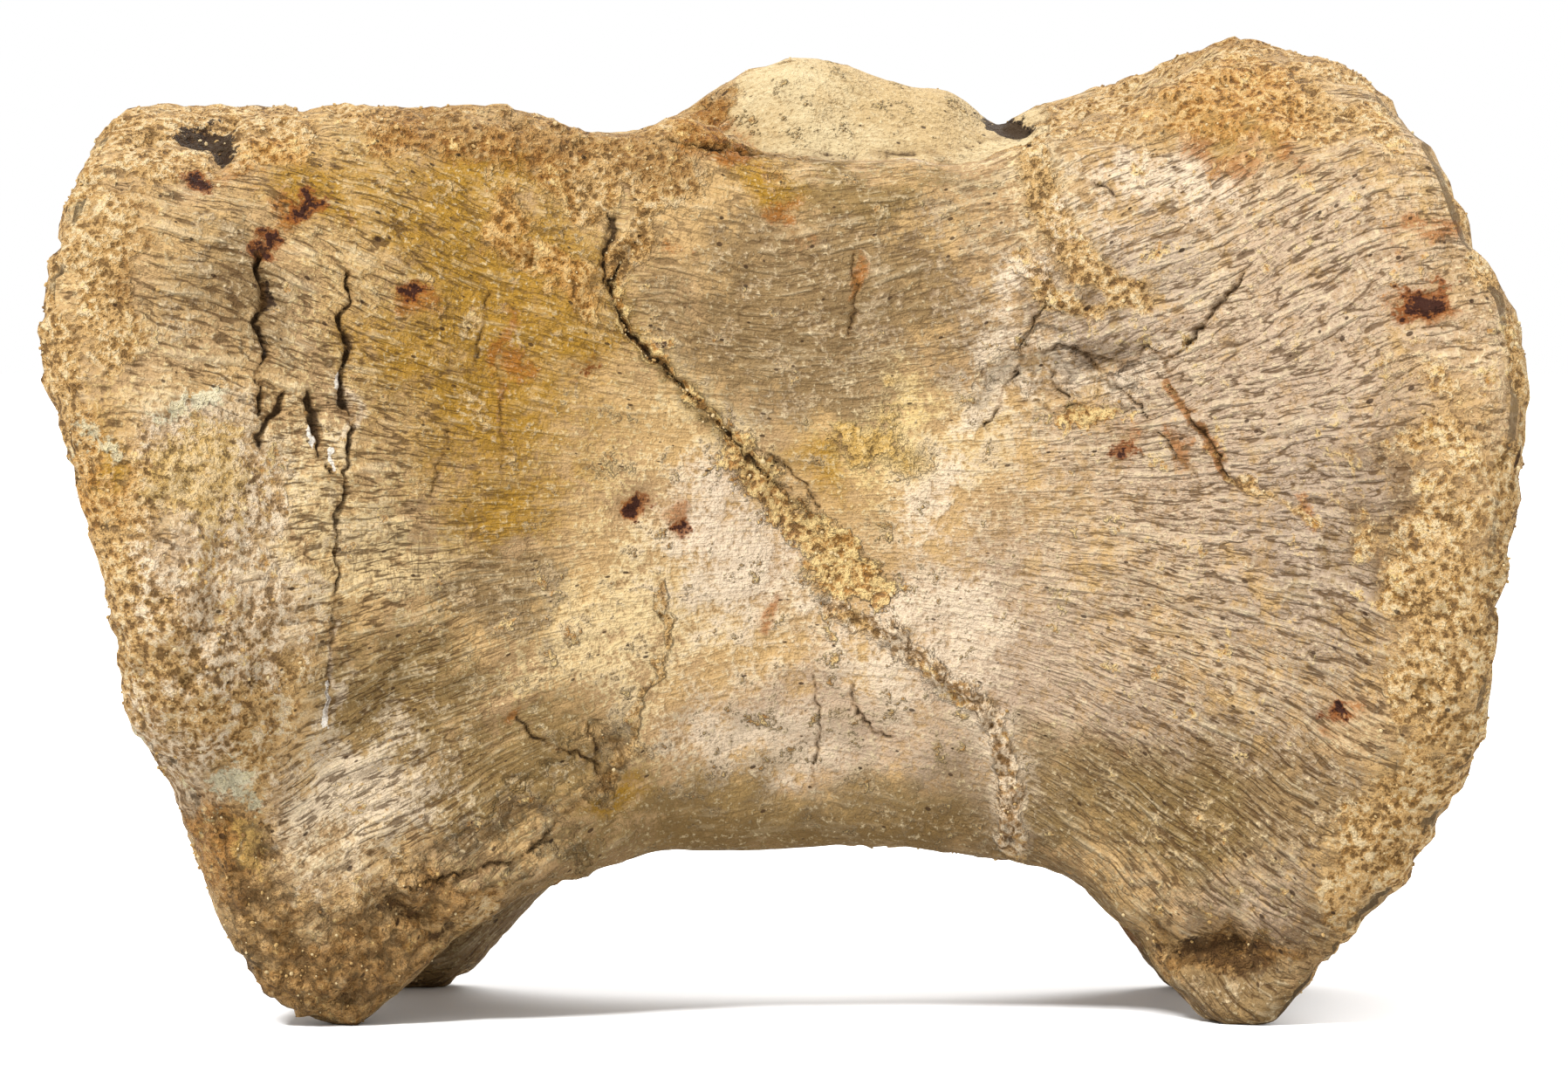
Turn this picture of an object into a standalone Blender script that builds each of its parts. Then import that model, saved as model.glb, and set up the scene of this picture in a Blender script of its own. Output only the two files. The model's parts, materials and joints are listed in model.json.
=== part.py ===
"""A fossil tail vertebra of a spinosaurid: the spool-shaped body of one bone, in one piece.

It stands on its four lower corners, with the bone's length along X, the side that shows best
towards -Y and the broken base of the neural arch on top. Lengths below are in millimetres.
"""

import math

import bmesh
import bpy
import numpy as np
from mathutils import Vector, noise

MM = 0.001

# The mesh starts as a sphere whose poles lie in the two joint faces.
DISH_RINGS = 8
BARREL_RINGS = 46

# The joint faces are dishes. Each has its deepest point here (x, y, z), with a small pit.
LEFT_DISH = (-36.0, 0.0, 35.0)
RIGHT_DISH = (37.0, 0.0, 36.0)
DISH_PIT_DEPTH = 1.6
DISH_PIT_REACH = 0.16
RIM_ROUNDING = 1.3

# Rails run the length of the bone, from the left rim to the right one, as points (x, y, z).
# The number is how many faces lie across the bone from a rail to the next one.
CANAL_FLOOR = 4, [
    (-45.0, 0.0, 61.6), (-30.0, -0.5, 60.4), (-12.0, -1.0, 58.6), (4.0, -1.5, 58.2),
    (16.0, -1.0, 59.0), (26.0, -0.5, 62.4), (33.0, 0.0, 66.8), (39.6, 0.0, 66.2),
]
NEAR_CREST = 5, [
    (-46.4, -10.0, 62.6), (-44.0, -10.5, 63.2), (-38.0, -11.2, 63.0), (-31.0, -12.0, 63.1),
    (-24.0, -12.6, 63.0), (-18.0, -13.0, 63.0), (-12.6, -13.5, 60.8), (-7.0, -13.5, 62.6),
    (-3.0, -13.0, 60.4), (2.5, -12.7, 59.6), (8.0, -12.5, 59.4), (14.0, -12.9, 59.6),
    (18.0, -12.5, 61.4), (24.0, -11.0, 63.6), (30.0, -9.5, 66.7), (35.0, -8.8, 67.0),
    (40.9, -10.0, 65.2),
]
NEAR_SHOULDER = 6, [
    (-48.5, -20.0, 58.0), (-40.0, -20.5, 57.6), (-25.0, -18.0, 56.0), (-10.0, -16.5, 54.6),
    (5.0, -16.5, 53.8), (18.0, -17.0, 55.0), (30.0, -19.0, 57.6), (39.0, -21.0, 58.6),
    (44.7, -20.3, 58.8),
]
NEAR_FLANK = 6, [
    (-49.5, -26.0, 46.4), (-44.0, -27.0, 46.0), (-36.0, -23.5, 45.0), (-22.0, -18.4, 44.0),
    (-6.0, -15.8, 43.0), (8.0, -15.4, 43.0), (22.0, -17.6, 43.6), (36.0, -22.4, 44.6),
    (45.0, -27.0, 45.0), (49.6, -26.0, 45.0),
]
NEAR_SIDE = 7, [
    (-45.0, -25.6, 25.6), (-41.5, -26.6, 27.0), (-33.0, -22.8, 29.4), (-20.0, -17.4, 32.0),
    (-4.0, -14.5, 32.4), (9.0, -14.3, 32.4), (22.0, -16.6, 32.0), (36.0, -22.0, 31.4),
    (44.0, -26.6, 28.0), (47.6, -25.8, 26.6),
]
NEAR_BELLY = 6, [
    (-41.6, -19.8, 15.6), (-38.0, -20.8, 16.0), (-30.0, -18.8, 17.8), (-18.0, -15.6, 20.4),
    (-4.0, -12.6, 21.0), (8.0, -12.2, 21.0), (20.0, -14.2, 20.6), (32.0, -18.2, 19.2),
    (41.0, -21.0, 15.8), (45.0, -19.8, 14.4),
]
NEAR_RIDGE = 5, [
    (-38.0, -14.0, 4.2), (-35.6, -14.4, 2.0), (-33.0, -14.6, 0.3), (-30.2, -14.6, -0.9),
    (-27.6, -14.4, 1.6), (-24.0, -14.0, 5.2), (-20.3, -13.0, 7.6), (-14.4, -10.8, 10.6),
    (-3.0, -8.6, 11.9), (7.0, -8.4, 12.1), (15.7, -9.0, 11.0), (20.5, -10.6, 9.7),
    (24.1, -12.0, 6.8), (26.6, -12.8, 3.0), (29.0, -13.2, -0.2), (32.0, -13.6, -0.8),
    (34.6, -13.8, 1.2), (37.6, -14.0, 4.5),
]
GROOVE = 5, [
    (-36.8, 0.0, 9.0), (-30.0, 0.0, 8.4), (-20.0, 0.0, 11.0), (-5.0, 0.0, 13.6),
    (8.0, 0.0, 13.8), (20.0, 0.0, 12.2), (30.0, 0.0, 8.4), (37.0, 0.0, 8.8),
]
FAR_RIDGE = 5, [
    (-37.0, 14.0, 4.6), (-34.0, 14.4, 1.2), (-30.0, 14.6, -0.4), (-25.6, 14.6, -0.6),
    (-22.6, 14.2, 1.4), (-19.4, 13.6, 5.6), (-16.0, 12.4, 8.6), (-13.0, 10.6, 11.0),
    (-3.0, 8.8, 12.8), (7.0, 8.6, 13.2), (16.5, 9.6, 11.8), (22.5, 11.6, 8.2),
    (26.0, 13.0, 2.8), (28.6, 13.6, -0.2), (32.4, 14.0, -0.6), (37.2, 14.2, 5.0),
]
FAR_BELLY = 6, [
    (-40.8, 20.6, 15.4), (-37.4, 21.4, 15.6), (-29.0, 18.8, 17.0), (-17.0, 15.2, 19.6),
    (-3.0, 12.8, 21.0), (9.0, 12.6, 21.0), (21.0, 14.6, 20.0), (33.0, 18.6, 17.8),
    (41.0, 21.6, 15.8), (44.8, 20.4, 15.4),
]
FAR_SIDE = 5, [
    (-45.0, 26.4, 31.0), (-40.6, 26.6, 31.0), (-31.0, 22.0, 31.4), (-18.0, 17.0, 32.0),
    (-3.0, 14.6, 32.6), (9.0, 14.6, 32.6), (23.0, 17.4, 32.0), (37.0, 23.2, 31.4),
    (43.4, 26.6, 31.0), (47.4, 25.8, 30.8),
]
FAR_FLANK = 5, [
    (-49.2, 26.0, 45.6), (-43.0, 27.0, 45.4), (-34.0, 23.0, 44.8), (-20.0, 18.0, 44.0),
    (-5.0, 15.8, 43.4), (9.0, 15.6, 43.4), (23.0, 18.2, 44.0), (37.0, 23.6, 44.6),
    (44.0, 27.0, 45.0), (49.0, 26.0, 44.8),
]
FAR_SHOULDER = 5, [
    (-47.8, 20.0, 58.2), (-39.0, 20.4, 57.4), (-24.0, 17.6, 56.4), (-9.0, 15.6, 56.4),
    (5.0, 15.0, 57.6), (18.0, 16.6, 56.8), (30.0, 19.2, 58.4), (45.4, 20.6, 58.0),
]
FAR_CREST = 4, [
    (-46.0, 9.0, 63.2), (-43.0, 9.6, 64.0), (-37.0, 10.0, 63.8), (-31.0, 10.4, 63.9),
    (-24.0, 10.8, 63.8), (-18.0, 11.0, 63.6), (-12.8, 11.2, 61.2), (-8.0, 10.6, 63.8),
    (-4.0, 10.0, 66.2), (-1.0, 9.4, 67.8), (2.4, 8.8, 68.6), (5.0, 8.8, 66.9),
    (11.6, 9.4, 65.0), (15.0, 10.0, 63.4), (20.0, 10.4, 64.8), (26.0, 9.4, 66.3),
    (31.0, 8.6, 68.6), (35.0, 8.4, 68.2), (41.0, 9.6, 65.4),
]
RAILS = [
    CANAL_FLOOR, NEAR_CREST, NEAR_SHOULDER, NEAR_FLANK, NEAR_SIDE, NEAR_BELLY, NEAR_RIDGE,
    GROOVE, FAR_RIDGE, FAR_BELLY, FAR_SIDE, FAR_FLANK, FAR_SHOULDER, FAR_CREST,
]
COLUMNS = sum(faces for faces, _ in RAILS)

# Broken places on the near side: centre (x, z), reach (x, z) and depth of the hollow.
LOWER_RIGHT_HOLLOW = ((30.6, 5.2), (5.0, 2.0), 2.6)
LOWER_LEFT_BREAK = ((-24.6, 7.2), (4.2, 2.2), 1.5)
MIDDLE_FLAKE = ((21.0, 43.2), (7.0, 2.6), 0.7)
TOP_LEFT_PIT = ((-39.6, 61.0), (2.2, 1.2), 1.4)
NOTCH_HOLE = ((15.4, 61.2), (1.6, 1.0), 1.4)
FRACTURE_TOP = ((-10.6, 50.0), (2.2, 5.0), 0.7)
FRACTURE_MIDDLE = ((0.5, 36.0), (3.0, 3.4), 0.8)
FRACTURE_FOOT = ((5.0, 31.0), (2.8, 2.8), 0.6)
NEAR_HOLLOWS = [
    LOWER_RIGHT_HOLLOW, LOWER_LEFT_BREAK, MIDDLE_FLAKE, TOP_LEFT_PIT, NOTCH_HOLE,
    FRACTURE_TOP, FRACTURE_MIDDLE, FRACTURE_FOOT,
]

# The surface is uneven all over, and rougher on the rims and the broken top.
SWELL_SIZE = 9.0
SWELL_HEIGHT = 0.35
CRUMBLE_SIZE = 2.6
CRUMBLE_HEIGHT = 0.75
RIM_BAND = 7.0
BROKEN_TOP = 59.0

# The feet are worn flat this high above the lowest points of their rails.
WORN_FLAT = 0.0

BONE_COLOUR = (0.46, 0.33, 0.17, 1.0)


def rail_point(points, share):
    """The point of a rail at this share of the way from the left rim to the right one."""
    knots = np.array(points)
    along = knots[:, 0]
    slopes = np.gradient(knots, along, axis=0)
    x = along[0] + share * (along[-1] - along[0])
    k = min(int(np.searchsorted(along, x, side="right")) - 1, len(along) - 2)
    gap = along[k + 1] - along[k]
    t = (x - along[k]) / gap
    return (
        (1 + 2 * t) * (1 - t) ** 2 * knots[k]
        + t * (1 - t) ** 2 * gap * slopes[k]
        + t**2 * (3 - 2 * t) * knots[k + 1]
        - t**2 * (1 - t) * gap * slopes[k + 1]
    )


def cross_section(share):
    """One ring of the barrel: down the near side from the canal floor, and up the far side."""
    knots = [rail_point(points, share) for _, points in RAILS]
    ring = []
    for k, (faces, _) in enumerate(RAILS):
        a, b, c, d = (knots[(k + step) % len(knots)] for step in (-1, 0, 1, 2))
        for t in np.linspace(0.0, 1.0, faces, endpoint=False):
            bend = (c - a) * t + (2 * a - 5 * b + 4 * c - d) * t**2
            ring.append(b + 0.5 * (bend + (3 * b - a - 3 * c + d) * t**3))
    return np.array(ring)


def dish_ring(rim, centre, share):
    """One ring of a joint face, at this share of the way from its centre to the rim."""
    middle = np.array(centre)
    spread = rim - middle
    reach = np.linalg.norm(spread[:, 1:], axis=1, keepdims=True)
    # Near its middle the dish is an even bowl, whatever the shape of the rim.
    evened = share * (reach.mean() + share * (reach - reach.mean()))
    ring = middle + spread * evened / reach
    depth = share**3 * spread[:, 0] + (1 - share**3) * spread[:, 0].mean()
    ring[:, 0] = middle[0] + (2 * share**2 - share**4) * depth
    inward = -math.copysign(DISH_PIT_DEPTH, middle[0])
    ring[:, 0] += inward * math.exp(-((share / DISH_PIT_REACH) ** 2))
    return ring


def drawn_in(ring, amount):
    """The ring with every point moved towards its middle by this length."""
    inward = ring.mean(axis=0) - ring
    inward[:, 0] = 0.0
    return ring + amount * inward / np.linalg.norm(inward, axis=1, keepdims=True)


def all_rings():
    """Every ring from the centre of the left face to the centre of the right one."""
    barrel = [cross_section(share) for share in np.linspace(0.0, 1.0, BARREL_RINGS)]
    barrel[0] = drawn_in(barrel[0], RIM_ROUNDING)
    barrel[-1] = drawn_in(barrel[-1], RIM_ROUNDING)
    shares = [k / DISH_RINGS for k in range(DISH_RINGS)]
    left = [dish_ring(barrel[0], LEFT_DISH, share) for share in shares]
    right = [dish_ring(barrel[-1], RIGHT_DISH, share) for share in reversed(shares)]
    return left + barrel + right


def rim_outline(end):
    """The heights and the length positions of the near rim, from its foot to its top."""
    rails = (NEAR_RIDGE, NEAR_BELLY, NEAR_SIDE, NEAR_FLANK, NEAR_SHOULDER, NEAR_CREST)
    ends = np.array([points[end] for _, points in rails])
    return ends[:, 2], ends[:, 0]


LEFT_RIM = rim_outline(0)
RIGHT_RIM = rim_outline(-1)


def share_of_rim(x, z):
    """1 on the rims, falling to 0 at the inner edge of their rough band."""
    inset = min(x - np.interp(z, *LEFT_RIM), np.interp(z, *RIGHT_RIM) - x)
    return min(1.0, max(0.0, 1.0 - inset / RIM_BAND))


def hollow_depth(x, z):
    """How far the near side is sunk at this place by its broken hollows."""
    return sum(
        depth * math.exp(-(((x - cx) / rx) ** 2) - ((z - cz) / rz) ** 2)
        for (cx, cz), (rx, rz), depth in NEAR_HOLLOWS
    )


def unevenness(point):
    """The height of the surface here: a slow swell, and a crumble where the bone is broken."""
    x, _, z = point
    broken = max(share_of_rim(x, z), min(1.0, max(0.0, (z - BROKEN_TOP) / 2.0)))
    swell = SWELL_HEIGHT * noise.noise(point / SWELL_SIZE)
    return swell + broken * CRUMBLE_HEIGHT * noise.noise(point / CRUMBLE_SIZE)


def bone_mesh():
    """The whole bone, in metres: a sphere with its rings moved to those of the bone."""
    rings = all_rings()
    last = len(rings) - 1
    bm = bmesh.new()
    bmesh.ops.create_uvsphere(bm, u_segments=COLUMNS, v_segments=last, radius=1.0)
    for vert in bm.verts:
        ring = round(math.acos(max(-1.0, min(1.0, vert.co.z))) / math.pi * last)
        column = round(math.atan2(vert.co.y, vert.co.x) / math.tau * COLUMNS) % COLUMNS
        vert.co = Vector(rings[ring][column])
    # The sphere's poles lie along X now and its columns run the other way round.
    bmesh.ops.reverse_faces(bm, faces=bm.faces)
    bm.normal_update()
    places = []
    for vert in bm.verts:
        place = vert.co + vert.normal * unevenness(vert.co)
        facing_near = max(0.0, -vert.normal.y)
        place.y += facing_near * hollow_depth(vert.co.x, vert.co.z)
        place.z = max(place.z, WORN_FLAT)
        places.append(place)
    centre_x = (max(p.x for p in places) + min(p.x for p in places)) / 2
    centre_y = (max(p.y for p in places) + min(p.y for p in places)) / 2
    for vert, place in zip(bm.verts, places):
        vert.co = (place - Vector((centre_x, centre_y, WORN_FLAT))) * MM
    bmesh.ops.triangulate(bm, faces=bm.faces)
    mesh = bpy.data.meshes.new("vertebra")
    bm.to_mesh(mesh)
    bm.free()
    return mesh


def fossil_bone():
    """The finish of the whole piece: dry, tan, mineral-stained bone."""
    material = bpy.data.materials.new("fossil_bone")
    material.use_nodes = True
    shader = material.node_tree.nodes["Principled BSDF"]
    shader.inputs["Base Color"].default_value = BONE_COLOUR
    shader.inputs["Roughness"].default_value = 0.82
    shader.inputs["Metallic"].default_value = 0.0
    return material


def main():
    for old in list(bpy.data.objects):
        bpy.data.objects.remove(old)
    collection = bpy.data.collections.new("spinosaurid_vertebra")
    bpy.context.scene.collection.children.link(collection)
    mesh = bone_mesh()
    mesh.shade_smooth()
    mesh.set_sharp_from_angle(angle=math.radians(40))
    mesh.materials.append(fossil_bone())
    collection.objects.link(bpy.data.objects.new("vertebra", mesh))


main()
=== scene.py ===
"""The looks of a fossil spinosaurid vertebra: cracked, grained bone with mineral stains, and sand.

Lengths are in millimetres up to the moment a mesh is made. Places on the better side of the
bone are given as (across, up) on the plane of that side, as an eye in front of it sees them.
"""

import json
import math

import bmesh
import bpy
import numpy as np
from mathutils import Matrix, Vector, noise

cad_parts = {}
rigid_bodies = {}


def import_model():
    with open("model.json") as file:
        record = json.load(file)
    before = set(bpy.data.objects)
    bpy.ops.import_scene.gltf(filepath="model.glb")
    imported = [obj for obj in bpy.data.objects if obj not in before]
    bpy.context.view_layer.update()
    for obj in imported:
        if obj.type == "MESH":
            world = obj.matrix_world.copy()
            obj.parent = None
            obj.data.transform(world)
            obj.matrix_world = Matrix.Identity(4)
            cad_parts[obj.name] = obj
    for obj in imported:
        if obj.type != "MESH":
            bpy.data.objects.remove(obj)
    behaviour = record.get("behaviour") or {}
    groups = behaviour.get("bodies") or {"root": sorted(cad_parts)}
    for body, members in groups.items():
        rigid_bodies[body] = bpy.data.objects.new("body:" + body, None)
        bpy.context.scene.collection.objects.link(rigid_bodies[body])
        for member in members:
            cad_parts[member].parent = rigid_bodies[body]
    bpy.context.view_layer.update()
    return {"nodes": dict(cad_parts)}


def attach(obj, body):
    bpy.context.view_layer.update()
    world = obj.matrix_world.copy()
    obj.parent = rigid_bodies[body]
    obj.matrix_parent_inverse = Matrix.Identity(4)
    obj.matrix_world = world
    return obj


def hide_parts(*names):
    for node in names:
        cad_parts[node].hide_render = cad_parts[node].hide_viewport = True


MM = 0.001

EYE_DISTANCE = 450.0
EYE_ELEVATION = math.radians(1.5)
EYE_AIM_HEIGHT = 33.3
EYE_LENS, EYE_SENSOR = 145.6, 36.0
SIDE_PLANE = 436.0
SIDE_PLANE_HEIGHT = 33.54

AXIS_HEIGHT = 36.0
FIBRE_RADIUS = 24.0
FIBRE_FAN = 0.75
FIBRE_REACH = 45.0
RIM_BAND = 3.4
FINE_BAND = 0.85
STUDIO_SHARE = 0.56

WELD_GAP = 0.001
MESH_SPLITS = 2
RIM_SLOTS = 120
LIP_INNER, LIP_OUTER = 37.0, 46.0
BROKEN_TOP = 58.5
FACING = (0.02, 0.25)
OFF_MIDDLE = (1.0, 4.0)
STAIN_FALL = 0.7

GRAIN_COUNT, GRAIN_SEED = 6000, 4
GRAIN_LEAST, GRAIN_SPREAD = 0.07, 0.13
GRAIN_STRETCH = (0.6, 1.15)
GRAIN_STANDING = 0.25
FLOOR_RADIUS, FLOOR_CORNERS = 60000.0, 96

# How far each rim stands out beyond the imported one, at heights up the better side.
LEFT_LIP = [(2.0, 0.6), (7.0, -0.5), (14.0, 0.2), (22.0, 1.4), (28.0, 0.2), (38.0, 0.2),
            (45.0, 1.3), (48.0, 0.7), (52.0, 1.1), (57.0, 0.4), (62.0, 0.8)]
RIGHT_LIP = [(4.0, 0.1), (11.0, 1.0), (16.0, 0.6), (23.0, 0.9), (29.0, 0.3), (38.0, 0.3),
             (44.0, 0.9), (49.0, 1.0), (54.0, 0.3), (62.0, 0.4)]

# Cracks of the better side: points, width, depth. A wider one is dark to its bottom.
CRACKS = {
    "wall_foot": ([(-8.0, 60.6), (-4.0, 60.2), (0.0, 59.7), (6.0, 59.8), (12.0, 60.1),
                   (15.0, 60.8)], 0.2, 0.4),
    "fracture": ([(-9.8, 54.2), (-11.2, 52.4), (-12.1, 51.2), (-11.8, 49.8), (-11.0, 48.2),
                  (-9.8, 46.7), (-7.7, 44.6), (-5.9, 42.5)], 0.27, 0.9),
    "fracture_tail": ([(-6.3, 43.0), (-4.6, 41.2), (-2.9, 39.5), (-1.0, 37.6), (0.4, 36.6)],
                      0.22, 0.6),
    "fracture_branch": ([(-11.9, 55.6), (-11.8, 54.0), (-12.6, 52.6), (-12.3, 50.6)], 0.3, 0.5),
    "fracture_lower": ([(-2.6, 39.8), (-0.2, 38.6), (1.6, 36.8), (2.7, 35.4)], 0.16, 0.4),
    "vein_foot": ([(3.7, 28.8), (8.5, 26.2), (11.2, 23.8), (13.6, 21.9), (15.0, 19.4),
                   (15.7, 16.4), (15.8, 12.6)], 0.1, 0.16),
    "left_hook": ([(-35.9, 53.0), (-36.4, 51.8), (-35.7, 50.6), (-35.8, 49.6), (-36.4, 48.4),
                   (-35.7, 47.2), (-35.6, 46.2), (-36.2, 44.6), (-36.1, 42.0)], 0.42, 0.9),
    "left_long": ([(-30.2, 51.6), (-29.9, 49.7), (-30.6, 48.4), (-29.9, 46.6), (-30.5, 44.6),
                   (-30.2, 42.6), (-29.8, 41.0), (-30.1, 39.0)], 0.36, 0.9),
    "left_long_middle": ([(-30.1, 39.4), (-30.3, 37.0), (-30.8, 34.4), (-30.7, 32.0),
                          (-30.8, 29.6)], 0.2, 0.6),
    "left_long_foot": ([(-30.8, 29.8), (-31.1, 26.0), (-31.4, 21.2)], 0.14, 0.3),
    "left_short": ([(-32.9, 43.6), (-32.3, 41.6), (-32.0, 39.2), (-31.3, 37.7)], 0.42, 0.8),
    "left_barb": ([(-34.5, 43.4), (-34.7, 42.2), (-36.0, 40.8), (-36.1, 39.4)], 0.34, 0.6),
    "left_thread": ([(-23.0, 40.6), (-23.6, 38.8), (-24.3, 36.6)], 0.14, 0.25),
    "ochre_thread": ([(-20.2, 50.2), (-20.9, 47.6), (-21.3, 45.6)], 0.16, 0.25),
    "ochre_long_thread": ([(-19.6, 44.0), (-19.3, 41.0), (-19.4, 37.4)], 0.12, 0.2),
    "right_hook": ([(31.7, 51.6), (30.1, 49.8), (28.8, 48.0), (27.8, 46.9), (26.2, 45.6),
                    (26.8, 44.6)], 0.19, 0.55),
    "right_twin_long": ([(26.7, 44.0), (28.3, 41.2), (30.7, 37.6)], 0.2, 0.6),
    "right_twin_short": ([(25.7, 40.8), (27.0, 39.2), (28.2, 37.5)], 0.24, 0.5),
    "right_nick": ([(21.2, 57.8), (22.8, 57.3)], 0.22, 0.4),
    "right_ledge_line": ([(25.6, 54.0), (28.8, 54.3)], 0.16, 0.3),
    "flake_side": ([(18.6, 50.6), (17.5, 49.0), (16.5, 46.6), (16.5, 45.6), (15.1, 43.8),
                    (14.7, 42.4), (13.7, 41.0)], 0.17, 0.45),
    "flake_top": ([(16.5, 46.6), (18.1, 46.2), (19.1, 46.7), (20.3, 46.2), (21.3, 45.8),
                   (22.7, 45.6), (24.1, 45.6), (24.9, 46.6), (26.1, 45.8)], 0.17, 0.4),
    "flake_middle": ([(21.1, 45.8), (21.3, 44.8), (22.7, 44.4), (23.1, 43.6), (24.5, 42.8),
                      (25.1, 41.6)], 0.16, 0.45),
    "flake_chip": ([(18.3, 44.9), (18.7, 43.6), (19.5, 43.0)], 0.2, 0.45),
    "flake_foot": ([(16.3, 43.0), (18.5, 42.2), (20.6, 42.6)], 0.14, 0.3),
    "middle_thread": ([(4.6, 53.2), (4.9, 50.6), (4.6, 47.4)], 0.16, 0.25),
    "belly_thread": ([(1.9, 24.2), (2.5, 20.6), (1.8, 16.4)], 0.14, 0.25),
    "belly_curve": ([(4.6, 23.4), (4.9, 21.8), (5.8, 20.6), (7.4, 19.7)], 0.18, 0.35),
    "lower_junction": ([(-18.2, 21.0), (-17.0, 19.6), (-15.4, 18.7), (-13.2, 18.4), (-12.6, 16.4),
                        (-11.6, 15.9)], 0.24, 0.5),
    "lower_junction_up": ([(-13.9, 21.0), (-13.0, 19.2), (-12.8, 17.6)], 0.16, 0.35),
    "ledge_line": ([(-25.9, 9.6), (-21.8, 10.4), (-18.0, 11.6), (-15.4, 14.2),
                    (-13.2, 16.2)], 0.2, 0.45),
}

# Cracks of the far side, which the photograph doesn't show, as an eye at the front would see them.
FAR_CRACKS = {
    "far_long": ([(20.0, 52.0), (17.5, 47.0), (18.4, 42.0), (14.0, 36.0), (11.5, 30.0),
                  (12.4, 24.0)], 0.32, 0.8),
    "far_rim": ([(-38.0, 50.0), (-36.6, 45.0), (-37.8, 40.0), (-37.0, 35.0)], 0.34, 0.8),
    "far_thread": ([(-20.0, 46.0), (-24.0, 42.0), (-25.0, 38.0)], 0.16, 0.3),
    "far_foot": ([(30.0, 20.0), (33.0, 17.0), (34.0, 12.0)], 0.24, 0.5),
}
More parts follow.
